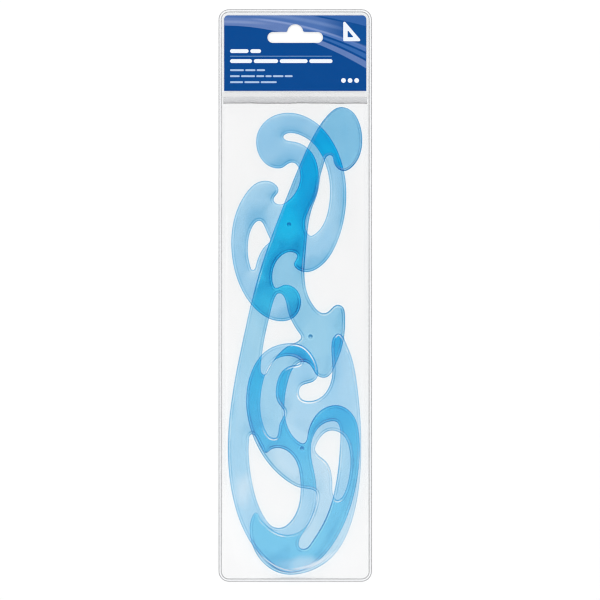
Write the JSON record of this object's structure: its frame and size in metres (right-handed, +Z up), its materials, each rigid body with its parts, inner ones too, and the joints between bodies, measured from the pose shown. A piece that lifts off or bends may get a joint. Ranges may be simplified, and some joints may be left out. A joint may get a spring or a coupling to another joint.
{
  "type": "french curve set in hang wallet",
  "caption": "Transparent blue drafting curves with cut-out windows, stacked flat in a clear film hang wallet with a printed header card.",
  "frame": {"origin": "middle of the underside of the wallet, on the surface it lies on", "axes": "+Z up out of the wallet's front, +Y along the wallet towards the header card and hang slot, +X to the right seen from the front"},
  "size_m": [0.0884, 0.33, 0.0049],
  "materials": {
    "blue_acrylic": "transparent blue moulding, polished faces",
    "clear_film": "clear soft vinyl film, glossy with slight ripples",
    "welded_film": "fused vinyl bead, slightly cloudy",
    "printed_card": "card printed blue, under clear film"
  },
  "bodies": {
    "wallet": {"back_film": "clear_film", "front_film": "clear_film", "header_film": "clear_film", "header_card": "printed_card", "rim_weld": "welded_film", "cross_weld": "welded_film"},
    "large_curve_body": {"large_curve": "blue_acrylic"},
    "s_curve_body": {"s_curve": "blue_acrylic"},
    "hook_curve_body": {"hook_curve": "blue_acrylic"}
  },
  "joints": [
    {"name": "large_curve_slide", "type": "slide", "parent": "wallet", "child": "large_curve_body", "axis": [0, 1, 0], "range_m": [0, 0.326]},
    {"name": "s_curve_slide", "type": "slide", "parent": "wallet", "child": "s_curve_body", "axis": [0, 1, 0], "range_m": [0, 0.182]},
    {"name": "hook_curve_slide", "type": "slide", "parent": "wallet", "child": "hook_curve_body", "axis": [0, 1, 0], "range_m": [0, 0.328]}
  ]
}
